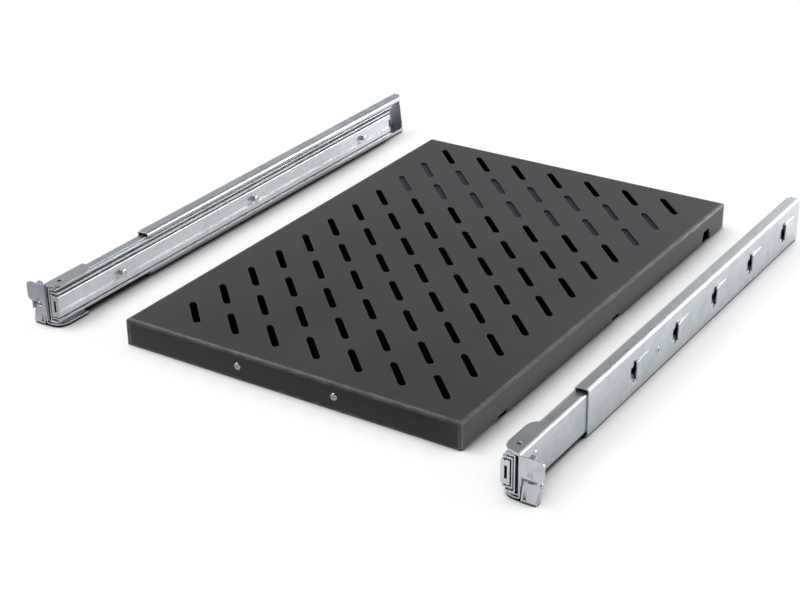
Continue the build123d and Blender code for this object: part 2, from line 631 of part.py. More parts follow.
def slide_pieces(rail_start):
    """Every piece of one slide by name."""
    outer_cage = (OUTER_START + OUTER_WEB + NEST_GAP, OUTER_START + MEMBER_DEPTH - 1)
    inner_cage = (MIDDLE_START + MIDDLE_WEB + NEST_GAP, INNER_FACE - INNER_WEB - 2 * NEST_GAP)
    return {
        "rear_bracket": rear_bracket(rail_start),
        "front_bracket": front_bracket(),
        "head_plate": head_plate(),
        "head_hook": head_hook(),
        "head_rivets": head_rivets(),
        "lock_lever": lock_lever(),
        "lever_pin": lever_pin(),
        "lever_spring": lever_spring(),
        "slide_outer_member": slide_outer_member(),
        "outer_ball_cage": ball_cage(outer_cage, OUTER_BALL_U, OUTER_BALL_V),
        "outer_balls": balls(OUTER_BALL_U, OUTER_BALL_V),
        "slide_middle_member": slide_middle_member(),
        "inner_ball_cage": ball_cage(inner_cage, INNER_BALL_U, INNER_BALL_V),
        "inner_balls": balls(INNER_BALL_U, INNER_BALL_V),
        "slide_inner_member": slide_inner_member(),
        "carrier_studs": carrier_studs(),
        "member_rivets": member_rivets(),
        "depth_screw": depth_screw(rail_start),
        "depth_nut": depth_nut(rail_start),
        "end_buffer": end_buffer(),
    }


def as_list(shape):
    """The separate solids of a piece."""
    return list(shape) if isinstance(shape, list) else [shape]


def placed(shape, place, mirrored):
    """A slide piece where it lies, mirrored for the right-hand slide."""
    solids = [solid for item in as_list(shape) for solid in item.solids()]
    if mirrored:
        solids = [mirror(solid, about=Plane.YZ) for solid in solids]
    return [Pos(*place) * solid for solid in solids]


nodes = {
    "shelf_tray": shelf_tray().solids(),
    "shelf_stiffener": shelf_stiffener().solids(),
    "front_screws": [s for item in front_screws() for s in item.solids()],
    "front_nuts": [s for item in front_nuts() for s in item.solids()],
}
left_place = (-LEFT_GAP, LEFT_FRONT, RAIL_MIDDLE)
right_place = (SHELF_WIDTH + RIGHT_GAP, RIGHT_FRONT, RAIL_MIDDLE)
for name, shape in slide_pieces(RAIL_START_LEFT).items():
    nodes[name + "_left"] = placed(shape, left_place, False)
for name, shape in slide_pieces(RAIL_START_RIGHT).items():
    nodes[name + "_right"] = placed(shape, right_place, True)

boxes = [solid.bounding_box() for solids in nodes.values() for solid in solids]
low_x, high_x = min(box.min.X for box in boxes), max(box.max.X for box in boxes)
low_y, high_y = min(box.min.Y for box in boxes), max(box.max.Y for box in boxes)
centre = Pos(-(low_x + high_x) / 2, -(low_y + high_y) / 2, -min(box.min.Z for box in boxes))
print("shelf's front left bottom corner at", centre.position)
for name, solids in nodes.items():
    moved = [centre * solid for solid in solids]
    export_step(moved[0] if len(moved) == 1 else Compound(moved), f"parts/{name}.step")
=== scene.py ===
# %% [markdown]
# # A pull-out rack shelf with its two telescopic slides
#
# The set is a dark powder-coated tray with slots, between two bright zinc-plated slides. Every
# solid comes from the CAD model, already in its place, in metres. This lesson gives those solids
# their finishes, makes the few shapes that are easier to draw here, and sets up a plain studio.

# %% Load the frame
import json
import math

import bpy
import numpy as np
from mathutils import Matrix, Vector


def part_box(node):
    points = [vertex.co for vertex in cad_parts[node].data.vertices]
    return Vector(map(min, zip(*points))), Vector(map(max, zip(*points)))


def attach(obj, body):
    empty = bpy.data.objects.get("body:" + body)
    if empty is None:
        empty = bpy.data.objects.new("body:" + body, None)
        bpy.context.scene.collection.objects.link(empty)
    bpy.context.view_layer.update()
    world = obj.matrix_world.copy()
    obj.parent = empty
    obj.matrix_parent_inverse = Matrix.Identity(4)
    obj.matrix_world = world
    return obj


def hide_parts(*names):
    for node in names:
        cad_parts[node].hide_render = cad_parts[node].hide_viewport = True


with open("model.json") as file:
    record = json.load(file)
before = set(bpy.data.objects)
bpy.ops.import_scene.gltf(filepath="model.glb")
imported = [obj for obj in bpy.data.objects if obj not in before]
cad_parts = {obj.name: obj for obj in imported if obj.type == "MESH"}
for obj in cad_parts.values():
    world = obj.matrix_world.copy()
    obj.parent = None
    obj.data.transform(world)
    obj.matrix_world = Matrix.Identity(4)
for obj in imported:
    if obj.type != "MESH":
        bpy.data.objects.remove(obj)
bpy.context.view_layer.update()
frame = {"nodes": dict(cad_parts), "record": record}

scene = bpy.context.scene
nodes = frame["nodes"]

# %% [markdown]
# ## The camera
#
# A photograph of a thing with a square grid on it gives its own camera: the grid's lines run to
# vanishing points, and those fix the focal length and the turn of the camera. It could be set by
# eye with the viewport, but the angles below come from the slots of the tray, so every edge of
# the render falls on the same edge of the photograph. The camera is tilted by a degree, as a
# hand-held one is, and looks from the front right and from above.

# %% Camera
CAMERA_AZIMUTH = math.radians(33.39)
CAMERA_ELEVATION = math.radians(26.58)
CAMERA_ROLL = math.radians(-0.90)
CAMERA_LENS = 78.435
CAMERA_FROM_SHELF = Vector((1.12954, -1.19405, 0.82643))
SHELF_UNDERSIDE = 0.030
FARTHEST_SEEN = 50


def camera_turn(azimuth, elevation, roll):
    """The camera's axes as a matrix: backwards from azimuth and elevation, then rolled about it."""
    back = Vector((math.sin(azimuth) * math.cos(elevation), -math.cos(azimuth) * math.cos(elevation),
                   math.sin(elevation)))
    right = Vector((math.cos(azimuth), math.sin(azimuth), 0))
    up = back.cross(right)
    c, s = math.cos(roll), math.sin(roll)
    return Matrix((c * right + s * up, c * up - s * right, back)).transposed()


shelf_low, shelf_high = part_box("shelf_tray")
camera_data = bpy.data.cameras.new("camera")
camera_data.lens = CAMERA_LENS
camera_data.sensor_width = 36
camera = bpy.data.objects.new("camera", camera_data)
scene.collection.objects.link(camera)
corner = Vector((shelf_low[0], shelf_low[1], SHELF_UNDERSIDE))
camera.matrix_world = Matrix.Translation(corner + CAMERA_FROM_SHELF) @ camera_turn(
    CAMERA_AZIMUTH, CAMERA_ELEVATION, CAMERA_ROLL).to_4x4()
camera_data.clip_end = FARTHEST_SEEN
scene.camera = camera
print("camera at", [round(v, 3) for v in camera.location])

# %% [markdown]
# ## A small kit for node trees
#
# A finish is a tree of nodes, and typed out link by link it hides what it does. Three helpers make
# it readable: one adds a node with its settings, one joins sockets, and one starts a node group
# with named inputs and outputs. The trees could be drawn by hand in the editor, but a script says
# why each number is there.

# %% Node helpers
def add(tree, kind, **settings):
    """Adds a node; a setting with a socket's name or number sets that input."""
    node = tree.nodes.new(kind)
    for name, value in settings.items():
        if hasattr(node, name):
            setattr(node, name, value)
        else:
            node.inputs[name.replace("_", " ")].default_value = value
    return node


def join(tree, *links):
    """Links pairs of sockets."""
    for out_socket, in_socket in links:
        tree.links.new(out_socket, in_socket)


def new_group(name, inputs, outputs):
    """A node group: inputs are (name, kind, value), outputs are (name, kind)."""
    tree = bpy.data.node_groups.new(name, "ShaderNodeTree")
    for label, kind, value in inputs:
        socket = tree.interface.new_socket(label, in_out="INPUT", socket_type="NodeSocket" + kind)
        socket.default_value = value
    for label, kind in outputs:
        tree.interface.new_socket(label, in_out="OUTPUT", socket_type="NodeSocket" + kind)
    return tree, tree.nodes.new("NodeGroupInput"), tree.nodes.new("NodeGroupOutput")


print("node helpers ready")

# %% [markdown]
# ## Sums, ramps and mixes
#
# Most of a finish is arithmetic on masks: a product of two, a value stretched between two limits,
# a colour between two colours. Each of these three helpers takes sockets or plain numbers and gives
# the socket of its result, so that sums can be written one inside the other.

# %% Value helpers
def math_node(tree, operation, a, b=None):
    """One sum on sockets or numbers; gives its output socket."""
    node = tree.nodes.new("ShaderNodeMath")
    node.operation = operation
    for socket, value in zip(node.inputs, (a, b)):
        if isinstance(value, bpy.types.NodeSocket):
            tree.links.new(value, socket)
        elif value is not None:
            socket.default_value = value
    return node.outputs[0]


def ramp(tree, value, low, high, to_low=0.0, to_high=1.0):
    """Stretches a value from low..high to to_low..to_high, and holds it there."""
    node = tree.nodes.new("ShaderNodeMapRange")
    tree.links.new(value, node.inputs["Value"])
    for name, number in (("From Min", low), ("From Max", high), ("To Min", to_low), ("To Max", to_high)):
        if isinstance(number, bpy.types.NodeSocket):
            tree.links.new(number, node.inputs[name])
        else:
            node.inputs[name].default_value = number
    return node.outputs["Result"]


def mixed(tree, factor, first, second):
    """A colour between two colours."""
    node = tree.nodes.new("ShaderNodeMix")
    node.data_type = "RGBA"
    for socket, value in ((node.inputs[0], factor), (node.inputs[6], first), (node.inputs[7], second)):
        if isinstance(value, bpy.types.NodeSocket):
            tree.links.new(value, socket)
        else:
            socket.default_value = value
    return node.outputs[2]


print("value helpers ready")

# %% [markdown]
# ## Worn edges
#
# Folded and punched sheet never has a razor edge. Light catches a thin line along each one, and
# handling polishes it. The Bevel node gives the normal that a rounded edge would have; where it
# turns away from the flat normal there is an edge, and that difference is the mask. It needs no
# extra geometry, and it works on the loose triangles of a CAD mesh. A noise breaks the line up, as
# hands and tools don't rub every edge alike.
# The mask colours worn edges, and on the tray's bends it also carries a painted highlight.

# %% Edge group
EDGE_START, EDGE_FULL = 0.02, 0.14
EDGE_PATCHES = (0.35, 0.65, 0.35, 1.0)
edge_tree, edge_in, edge_out = new_group(
    "edge wear and highlight", [("Radius", "Float", 0.0006), ("Spread", "Float", 60.0)],
    [("Mask", "Float"), ("Normal", "Vector")])
edge_bevel = add(edge_tree, "ShaderNodeBevel", samples=6)
edge_flat = add(edge_tree, "ShaderNodeNewGeometry")
edge_dot = add(edge_tree, "ShaderNodeVectorMath", operation="DOT_PRODUCT")
edge_place = add(edge_tree, "ShaderNodeTexCoord")
edge_noise = add(edge_tree, "ShaderNodeTexNoise", Detail=3.0)
join(edge_tree, (edge_in.outputs["Radius"], edge_bevel.inputs["Radius"]),
     (edge_bevel.outputs[0], edge_dot.inputs[0]), (edge_flat.outputs["Normal"], edge_dot.inputs[1]),
     (edge_place.outputs["Object"], edge_noise.inputs["Vector"]),
     (edge_in.outputs["Spread"], edge_noise.inputs["Scale"]))
edge_turn = math_node(edge_tree, "SUBTRACT", 1.0, edge_dot.outputs["Value"])
edge_sharp = ramp(edge_tree, edge_turn, EDGE_START, EDGE_FULL)
edge_patches = ramp(edge_tree, edge_noise.outputs[0], *EDGE_PATCHES)
join(edge_tree, (math_node(edge_tree, "MULTIPLY", edge_sharp, edge_patches), edge_out.inputs["Mask"]),
     (edge_bevel.outputs[0], edge_out.inputs["Normal"]))
print("edge group:", len(edge_tree.nodes), "nodes")

# %% [markdown]
# ## Dust and handling
#
# Fine dust settles on faces that look up, in soft patches, and fingers leave duller marks. Both
# come from the face's own normal and a broad noise, so they stay put when the camera moves.

# %% Dust group
FACING_UP = (0.2, 1.0)
DUST_PATCHES = (0.38, 0.68)
dust_tree, dust_in, dust_out = new_group(
    "dust", [("Patches", "Float", 9.0), ("Strength", "Float", 0.3)], [("Mask", "Float")])
dust_face = add(dust_tree, "ShaderNodeNewGeometry")
dust_split = add(dust_tree, "ShaderNodeSeparateXYZ")
dust_place = add(dust_tree, "ShaderNodeTexCoord")
dust_noise = add(dust_tree, "ShaderNodeTexNoise", Detail=6.0, Roughness=0.62)
join(dust_tree, (dust_face.outputs["Normal"], dust_split.inputs[0]),
     (dust_place.outputs["Object"], dust_noise.inputs["Vector"]),
     (dust_in.outputs["Patches"], dust_noise.inputs["Scale"]))
dust_up = ramp(dust_tree, dust_split.outputs["Z"], *FACING_UP)
dust_patch = ramp(dust_tree, dust_noise.outputs[0], *DUST_PATCHES)
dust_mask = math_node(dust_tree, "MULTIPLY", dust_up, dust_patch)
join(dust_tree, (math_node(dust_tree, "MULTIPLY", dust_mask, dust_in.outputs["Strength"]),
                 dust_out.inputs["Mask"]))
print("dust group:", len(dust_tree.nodes), "nodes")

# %% [markdown]
# ## The grain of powder coat
#
# Powder coat is sprayed as plastic dust and baked. It flows together into a skin with a fine
# orange-peel: low round bumps about half a millimetre across, and a slower unevenness under them.
# A Voronoi texture has the right round cells, and two noises add the slower waves.

# %% Powder group
FINE_SHARE, SLOW_SHARE = 0.8, 0.7
SPECKLE_SPAN = (0.3, 0.72)
powder_tree, powder_in, powder_out = new_group(
    "powder grain", [("Cell", "Float", 1500.0)], [("Height", "Float"), ("Speckle", "Float")])
powder_place = add(powder_tree, "ShaderNodeTexCoord")
powder_cells = add(powder_tree, "ShaderNodeTexVoronoi", feature="SMOOTH_F1", Smoothness=0.7)
powder_fine = add(powder_tree, "ShaderNodeTexNoise", Detail=4.0, Roughness=0.7, Scale=420.0)
powder_slow = add(powder_tree, "ShaderNodeTexNoise", Detail=2.0, Scale=55.0)
for node in (powder_cells, powder_fine, powder_slow):
    join(powder_tree, (powder_place.outputs["Object"], node.inputs["Vector"]))
join(powder_tree, (powder_in.outputs["Cell"], powder_cells.inputs["Scale"]))
powder_sum = math_node(powder_tree, "ADD", powder_cells.outputs["Distance"],
                       math_node(powder_tree, "MULTIPLY", powder_fine.outputs[0], FINE_SHARE))
powder_sum = math_node(powder_tree, "ADD", powder_sum,
                       math_node(powder_tree, "MULTIPLY", powder_slow.outputs[0], SLOW_SHARE))
join(powder_tree, (powder_sum, powder_out.inputs["Height"]),
     (ramp(powder_tree, powder_fine.outputs[0], *SPECKLE_SPAN), powder_out.inputs["Speckle"]))
print("powder group:", len(powder_tree.nodes), "nodes")

# %% [markdown]
# ## The grain of rolled and zinc-plated steel
#
# Cold-rolled strip shows fine lines along the rolling direction, which is the long way of every
# slide. Plating follows them and adds soft clouds of duller and brighter zinc. The lines are a
# noise squeezed by a Mapping node: hardly any change along Y, quick change across it.

# %% Zinc group
ALONG_THE_ROLL = (1.0, 0.012, 1.0)
CLOUD_SPAN = (0.35, 0.68)
zinc_tree, zinc_in, zinc_out = new_group(
    "rolled zinc", [("Lines", "Float", 900.0), ("Clouds", "Float", 28.0)],
    [("Line", "Float"), ("Cloud", "Float"), ("Fleck", "Float")])
zinc_place = add(zinc_tree, "ShaderNodeTexCoord")
zinc_map = add(zinc_tree, "ShaderNodeMapping")
zinc_map.inputs["Scale"].default_value = ALONG_THE_ROLL
zinc_lines = add(zinc_tree, "ShaderNodeTexNoise", Detail=5.0, Roughness=0.6)
zinc_clouds = add(zinc_tree, "ShaderNodeTexNoise", Detail=5.0, Roughness=0.55, Distortion=0.6)
zinc_flecks = add(zinc_tree, "ShaderNodeTexVoronoi", Scale=240.0, Randomness=1.0)
join(zinc_tree, (zinc_place.outputs["Object"], zinc_map.inputs["Vector"]),
     (zinc_map.outputs[0], zinc_lines.inputs["Vector"]),
     (zinc_place.outputs["Object"], zinc_clouds.inputs["Vector"]),
     (zinc_place.outputs["Object"], zinc_flecks.inputs["Vector"]),
     (zinc_in.outputs["Lines"], zinc_lines.inputs["Scale"]),
     (zinc_in.outputs["Clouds"], zinc_clouds.inputs["Scale"]),
     (zinc_lines.outputs[0], zinc_out.inputs["Line"]),
     (ramp(zinc_tree, zinc_clouds.outputs[0], *CLOUD_SPAN), zinc_out.inputs["Cloud"]))
zinc_split = add(zinc_tree, "ShaderNodeSeparateColor")
join(zinc_tree, (zinc_flecks.outputs["Color"], zinc_split.inputs[0]),
     (zinc_split.outputs[0], zinc_out.inputs["Fleck"]))
print("zinc group:", len(zinc_tree.nodes), "nodes")

# %% [markdown]
# ## Starting a material
#
# Every finish has the same skeleton: a Principled shader, a Bump node on its normal, and the
# groups it needs. This helper makes the skeleton; each finish below fills it in.

# %% Material helper
def start(name, **numbers):
    """A material with its shader, its tree and a bump node on the shader's normal."""
    material = bpy.data.materials.new(name)
    material.use_nodes = True
    tree = material.node_tree
    shader = tree.nodes["Principled BSDF"]
    for socket, value in numbers.items():
        shader.inputs[socket.replace("_", " ")].default_value = value
    bump = add(tree, "ShaderNodeBump")
    join(tree, (bump.outputs[0], shader.inputs["Normal"]))
    return material, tree, shader, bump


def use(tree, group, **numbers):
    """Places a node group with its own values."""
    node = tree.nodes.new("ShaderNodeGroup")
    node.node_tree = group
    for socket, value in numbers.items():
        node.inputs[socket].default_value = value
    return node


materials = {}
print("material helper ready")

# %% [markdown]
# ## Dark powder coat
#
# The tray's bends are round and lie at its rim, where hands and rails rub them and where a wide
# painted highlight lies, while a punched slot keeps a narrow edge. One coat has to show both. It
# could be split over two materials by face, but the distance from the rim tells them apart without
# touching the mesh: near zero on the bends, far below zero at the slots.

# %% Distance from the rim
shelf_middle, shelf_half = (shelf_low + shelf_high) / 2, (shelf_high - shelf_low) / 2


def rim_distance(tree):
    """How far a point lies outside the tray's outline: the larger of |x - middle| - half width and
    |y - middle| - half depth. It is below zero on the tray, and zero on its flanges."""
    place = add(tree, "ShaderNodeTexCoord")
    from_middle = add(tree, "ShaderNodeVectorMath", operation="SUBTRACT")
    from_middle.inputs[1].default_value = shelf_middle
    apart = add(tree, "ShaderNodeVectorMath", operation="ABSOLUTE")
    sides = add(tree, "ShaderNodeSeparateXYZ")
    join(tree, (place.outputs["Object"], from_middle.inputs[0]),
         (from_middle.outputs[0], apart.inputs[0]), (apart.outputs[0], sides.inputs[0]))
    outside_x = math_node(tree, "SUBTRACT", sides.outputs["X"], shelf_half.x)
    outside_y = math_node(tree, "SUBTRACT", sides.outputs["Y"], shelf_half.y)
    return math_node(tree, "MAXIMUM", outside_x, outside_y)


print("tray reaches", [round(v, 4) for v in shelf_half], "m from its middle")

# %% [markdown]
# ## The coat itself
#
# The tray is charcoal, half matt. Most of what the eye sees on it is a soft reflection that grows
# towards the far edge, so the colour itself is very dark. The edges are a little rubbed and
# shinier, narrow and darker round the slots; along the bends they are light and wide, a painted
# highlight as well as wear. A breath of dust lies on the top. The channel under the tray gets a
# duller, bluer copy of the coat with little shine: painted shade for the shadow that it lies in,
# so that the slots that it covers look flat grey.

# %% Powder coat
RIM_START, RIM_FULL = -0.012, -0.006
PUNCHED_EDGE, BENT_EDGE = 0.0006, 0.005
# The bend colour is a painted highlight as well as wear; the slot colour is wear.
RUBBED_SLOT, BEND_WEAR_AND_HIGHLIGHT = (0.120, 0.128, 0.136, 1), (0.300, 0.315, 0.330, 1)
POWDER_DUST = (0.075, 0.078, 0.080, 1)
POWDER_ROUGH = (0.34, 0.44)
EDGE_POLISH, DUST_MATT = 0.10, 0.5
PEEL_STRENGTH, PEEL_HEIGHT = 0.35, 0.00012


def powder_finish(name, dark, light, specular, dust_strength):
    """Powder coat from the dark and the light colour of its speckle, its shine and its dust."""
    material, tree, shader, bump = start(name, Specular_IOR_Level=specular)
    grain = use(tree, powder_tree)
    edges = use(tree, edge_tree, Spread=70.0)
    dust = use(tree, dust_tree, Patches=7.0, Strength=dust_strength)
    rim = rim_distance(tree)
    radius = ramp(tree, rim, RIM_START, RIM_FULL, PUNCHED_EDGE, BENT_EDGE)
    # On the bends the edge colour is a painted highlight as well as wear; round the slots it is wear.
    rub_and_highlight = mixed(tree, ramp(tree, rim, RIM_START, RIM_FULL), RUBBED_SLOT, BEND_WEAR_AND_HIGHLIGHT)
    colour = mixed(tree, grain.outputs["Speckle"], dark, light)
    colour = mixed(tree, edges.outputs["Mask"], colour, rub_and_highlight)
    colour = mixed(tree, dust.outputs["Mask"], colour, POWDER_DUST)
    rough = ramp(tree, grain.outputs["Speckle"], 0.0, 1.0, *POWDER_ROUGH)
    polish = math_node(tree, "MULTIPLY", edges.outputs["Mask"], EDGE_POLISH)
    matt = math_node(tree, "MULTIPLY", dust.outputs["Mask"], DUST_MATT)
    rough = math_node(tree, "ADD", math_node(tree, "SUBTRACT", rough, polish), matt)
    join(tree, (radius, edges.inputs["Radius"]), (colour, shader.inputs["Base Color"]),
         (rough, shader.inputs["Roughness"]), (grain.outputs["Height"], bump.inputs["Height"]),
         (edges.outputs["Normal"], bump.inputs["Normal"]))
    bump.inputs["Strength"].default_value = PEEL_STRENGTH
    bump.inputs["Distance"].default_value = PEEL_HEIGHT
    return material


materials["powder_coat"] = powder_finish(
    "powder_coat", (0.0085, 0.0102, 0.0118, 1), (0.0140, 0.0166, 0.0190, 1), 0.45, 0.14)
# The channel under the tray gets a duller, bluer copy with little shine: painted shade.
shaded_powder_copy = powder_finish(
    "powder_coat_painted_shade", (0.0085, 0.0110, 0.0150, 1), (0.0150, 0.0190, 0.0250, 1), 0.08, 0.0)
print("powder coat ready, bevelled", 1000 * BENT_EDGE, "mm on the bends")

# %% [markdown]
# ## Zinc-plated sheet
#
# Bright zinc is a bluish white metal. It is not a mirror: the rolled lines under it blur its
# reflection, clouds of it are duller, and scuffed edges are brighter. The same skeleton serves the
# folded rails, the drawn races and the screws, with other values, so one function builds them all.

# %% Zinc finishes
ZINC_DUST = (0.34, 0.33, 0.31, 1)
SCUFFED = 1.12
FLECK_SHARE, SCUFF_SHARE = 0.25, 0.6
LINE_ROUGH = (0.3, 0.7, -0.04, 0.05)
ZINC_BUMP = 0.3
ZINC_KINDS = {
    # name: clean colour, dull colour, roughness from and to, rolling lines, clouds, depth of lines
    "zinc_sheet": ((0.57, 0.61, 0.65), (0.45, 0.485, 0.52), (0.27, 0.38), 900.0, 40.0, 0.00005),
    "race_steel": ((0.61, 0.645, 0.68), (0.50, 0.53, 0.56), (0.36, 0.46), 1400.0, 30.0, 0.00006),
    "screw_zinc": ((0.55, 0.57, 0.59), (0.44, 0.45, 0.47), (0.22, 0.34), 2200.0, 160.0, 0.00002),
    "cage_steel": ((0.33, 0.335, 0.34), (0.24, 0.245, 0.25), (0.28, 0.42), 1200.0, 60.0, 0.00004),
    "spring_steel": ((0.42, 0.42, 0.43), (0.30, 0.30, 0.31), (0.30, 0.42), 3000.0, 300.0, 0.00001),
    "ball_steel": ((0.62, 0.62, 0.63), (0.56, 0.56, 0.57), (0.06, 0.12), 600.0, 200.0, 0.00001),
}


def zinc_finish(name, clean, dull, rough_span, lines, clouds, depth):
    """Zinc over rolled steel, from its clean and dull colours, roughness span and grain."""
    material, tree, shader, bump = start(name, Metallic=1.0)
    zinc = use(tree, zinc_tree, Lines=lines, Clouds=clouds)
    edges = use(tree, edge_tree, Radius=0.0005, Spread=120.0)
    dust = use(tree, dust_tree, Patches=14.0, Strength=0.16)
    bright = tuple(min(1.0, SCUFFED * value) for value in clean) + (1,)
    colour = mixed(tree, zinc.outputs["Cloud"], (*clean, 1), (*dull, 1))
    colour = mixed(tree, math_node(tree, "MULTIPLY", zinc.outputs["Fleck"], FLECK_SHARE), colour, bright)
    colour = mixed(tree, math_node(tree, "MULTIPLY", edges.outputs["Mask"], SCUFF_SHARE), colour, bright)
    colour = mixed(tree, dust.outputs["Mask"], colour, ZINC_DUST)
    rough = ramp(tree, zinc.outputs["Cloud"], 0.0, 1.0, *rough_span)
    rough = math_node(tree, "ADD", rough, ramp(tree, zinc.outputs["Line"], *LINE_ROUGH))
    join(tree, (colour, shader.inputs["Base Color"]), (rough, shader.inputs["Roughness"]),
         (zinc.outputs["Line"], bump.inputs["Height"]), (edges.outputs["Normal"], bump.inputs["Normal"]))
    bump.inputs["Strength"].default_value = ZINC_BUMP
    bump.inputs["Distance"].default_value = depth
    return material


for name, kind in ZINC_KINDS.items():
    materials[name] = zinc_finish(name, *kind)
print(len(materials), "finishes")

# %% [markdown]
# ## Rubber
#
# The stop at the back of each slide is moulded rubber: nearly black, matt, with a fine grain and a
# pale bloom on its upper faces. The powder grain serves it too, with smaller cells.

# %% Rubber
RUBBER_DARK, RUBBER_LIGHT = (0.012, 0.012, 0.012, 1), (0.022, 0.022, 0.022, 1)
RUBBER_BLOOM = (0.09, 0.088, 0.083, 1)
RUBBER_ROUGH = (0.68, 0.82)
rubber, tree, shader, bump = start("buffer_rubber", Specular_IOR_Level=0.35)
grain = use(tree, powder_tree, Cell=2600.0)
dust = use(tree, dust_tree, Patches=60.0, Strength=0.35)
colour = mixed(tree, grain.outputs["Speckle"], RUBBER_DARK, RUBBER_LIGHT)
colour = mixed(tree, dust.outputs["Mask"], colour, RUBBER_BLOOM)
join(tree, (colour, shader.inputs["Base Color"]), (grain.outputs["Height"], bump.inputs["Height"]),
     (ramp(tree, grain.outputs["Speckle"], 0.0, 1.0, *RUBBER_ROUGH), shader.inputs["Roughness"]))
bump.inputs["Strength"].default_value = 0.4
bump.inputs["Distance"].default_value = 0.0001
materials["buffer_rubber"] = rubber
print("rubber ready")

# %% [markdown]
# ## Dressing the CAD solids
#
# The record names a material slot for each solid, so the finishes have the slots' names and are
# handed out from it. A solid's mesh stays as it is. Only the channel under the tray differs from
# its slot, with the duller copy of the coat that is painted shade.

# %% Hand out the finishes
slot_of = {entry["node"]: entry["material_slot"] for entry in frame["record"]["subparts"]}
for name, piece in nodes.items():
    piece.data.materials.clear()
    piece.data.materials.append(materials[slot_of[name]])
# The channel's duller coat is painted shade.
nodes["shelf_stiffener"].data.materials[0] = shaded_powder_copy
print("dressed", len(nodes), "solids")

# %% [markdown]
# ## Small turned parts
#
# Screws, studs, rivets, pins and balls are round bodies made on a lathe or a cold header. The CAD
# draws them with a few flats, which is enough for their place and size. Here each is turned again
# as a smooth body from its profile: the radius and the height along its axis, ring by ring. A
# ring can also be a hexagon, which makes the socket of a screw from the same surface. The Screw
# modifier would turn a profile too, but an array of points is one formula and stays exact. First
# comes a helper that makes an object of any points and faces.

# %% Pieces
SHARP_ANGLE = math.radians(32)


def new_piece(name, points, faces, finish):
    """A shaded object from an array of points and its faces, with a finish from the record."""
    mesh = bpy.data.meshes.new(name)
    mesh.from_pydata(points.tolist(), [], faces)
    mesh.polygons.foreach_set("use_smooth", np.ones(len(faces), dtype=bool))
    mesh.set_sharp_from_angle(angle=SHARP_ANGLE)
    mesh.materials.append(materials[finish])
    piece = bpy.data.objects.new(name, mesh)
    scene.collection.objects.link(piece)
    return piece


print("edges sharper than", round(math.degrees(SHARP_ANGLE)), "degrees stay sharp")

# %% [markdown]
# ## The lathe
#
# The rings are stacked points, so the faces between them follow from counting alone. Every formula
# below works on the whole array at once, which is shorter than a loop over points, and faster.

# %% Lathe
def ring_faces(rings, sides, first=0):
    """Faces of stacked rings with one point at each end, counted from a first point: quads between
    the rings, triangles at the ends."""
    row = np.arange(sides)
    after = (row + 1) % sides
    low = 1 + np.arange(rings - 1)[:, None] * sides
    quads = np.stack([low + row, low + after, low + sides + after, low + sides + row], axis=-1)
    last = 1 + (rings - 1) * sides
    bottom = np.stack([0 * row, 1 + after, 1 + row], axis=-1)
    top = np.stack([0 * row + last + sides, last + row, last + after], axis=-1)
    return [*(quads.reshape(-1, 4) + first).tolist(), *(bottom + first).tolist(), *(top + first).tolist()]


def lathe(profile, sides=36, first=0):
    """A turned body about Z. Row i of the profile is (radius r, height h, hexagon share s); its
    ring has the points (r k cos a, r k sin a, h), where k runs from 1 for a circle to the outline
    of a hexagon with its corners at r as s goes from 0 to 1. The end rows are single points."""
    radius, height, share = np.array([tuple(row) + (0,) * (3 - len(row)) for row in profile]).T
    angle = 2 * np.pi * np.arange(sides) / sides
    hexagon = math.cos(math.pi / 6) / np.cos(np.mod(angle, np.pi / 3) - np.pi / 6)
    reach = radius[1:-1, None] * (1 + share[1:-1, None] * (hexagon - 1))
    rings = np.stack([reach * np.cos(angle), reach * np.sin(angle),
                      height[1:-1, None] + 0 * reach], axis=-1).reshape(-1, 3)
    ends = np.array([(0, 0, height[0]), (0, 0, height[-1])])
    return np.concatenate([ends[:1], rings, ends[1:]]), ring_faces(len(profile) - 2, sides, first)


def aimed(points, place, axis):
    """Points drawn about Z, turned so that Z lies along an axis, then moved."""
    turn = np.array(Vector(axis).to_track_quat("Z", "Y").to_matrix())
    return points @ turn.T + np.array(place)


print("lathe ready")

# %% [markdown]
# ## Where the small parts sit
#
# Several like parts share one CAD node. Sorting the node's corners along an axis and cutting the
# row at its gaps gives each part's own box, so a new part sits exactly where the CAD has it.

# %% Places
def boxes(node, axes, gap=0.002):
    """The lowest and highest corner of each part of a node, split along the axes in turn."""
    corners = np.empty(3 * len(nodes[node].data.vertices))
    nodes[node].data.vertices.foreach_get("co", corners)
    groups = [corners.reshape(-1, 3)]
    for axis in axes:
        ordered = [group[np.argsort(group[:, axis])] for group in groups]
        groups = [part for group in ordered
                  for part in np.split(group, np.flatnonzero(np.diff(group[:, axis]) > gap) + 1)]
    return [(group.min(axis=0), group.max(axis=0)) for group in groups]


body_of = {node: body for body, members in frame["record"]["behaviour"]["bodies"].items()
           for node in members}


def stand_in(node, axes, axis, profile, sides=36):
    """Turned bodies in place of all the parts of a node, as one object. The profile is a function
    of the part's length; the axis points from the foot of the profile to its head."""
    way = np.array(axis, dtype=float)
    along = int(np.argmax(np.abs(way)))
    points, faces = [], []
    for low, high in boxes(node, axes):
        foot = (low + high) / 2
        foot[along] = low[along] if way[along] > 0 else high[along]
        body, body_faces = lathe(profile(high[along] - low[along]), sides, sum(map(len, points)))
        faces += body_faces
        points.append(aimed(body, foot, axis))
    piece = new_piece("smooth_" + node, np.concatenate(points), faces, slot_of[node])
    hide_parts(node)
    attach(piece, body_of[node])
    return piece


print("places ready:", len(boxes("carrier_studs_left", (1,))), "studs on the left slide")

# %% [markdown]
# ## Profiles of the screws
#
# Each profile is a handful of radii and heights in metres. A screw head is pressed, so its top is
# a low dome with a hexagon socket, and its thread shows as fine ridges where it comes out behind.
# The ridges are rings and not a helix: the eye can't tell them apart at this pitch, and rings come
# from the same lathe as the rest.

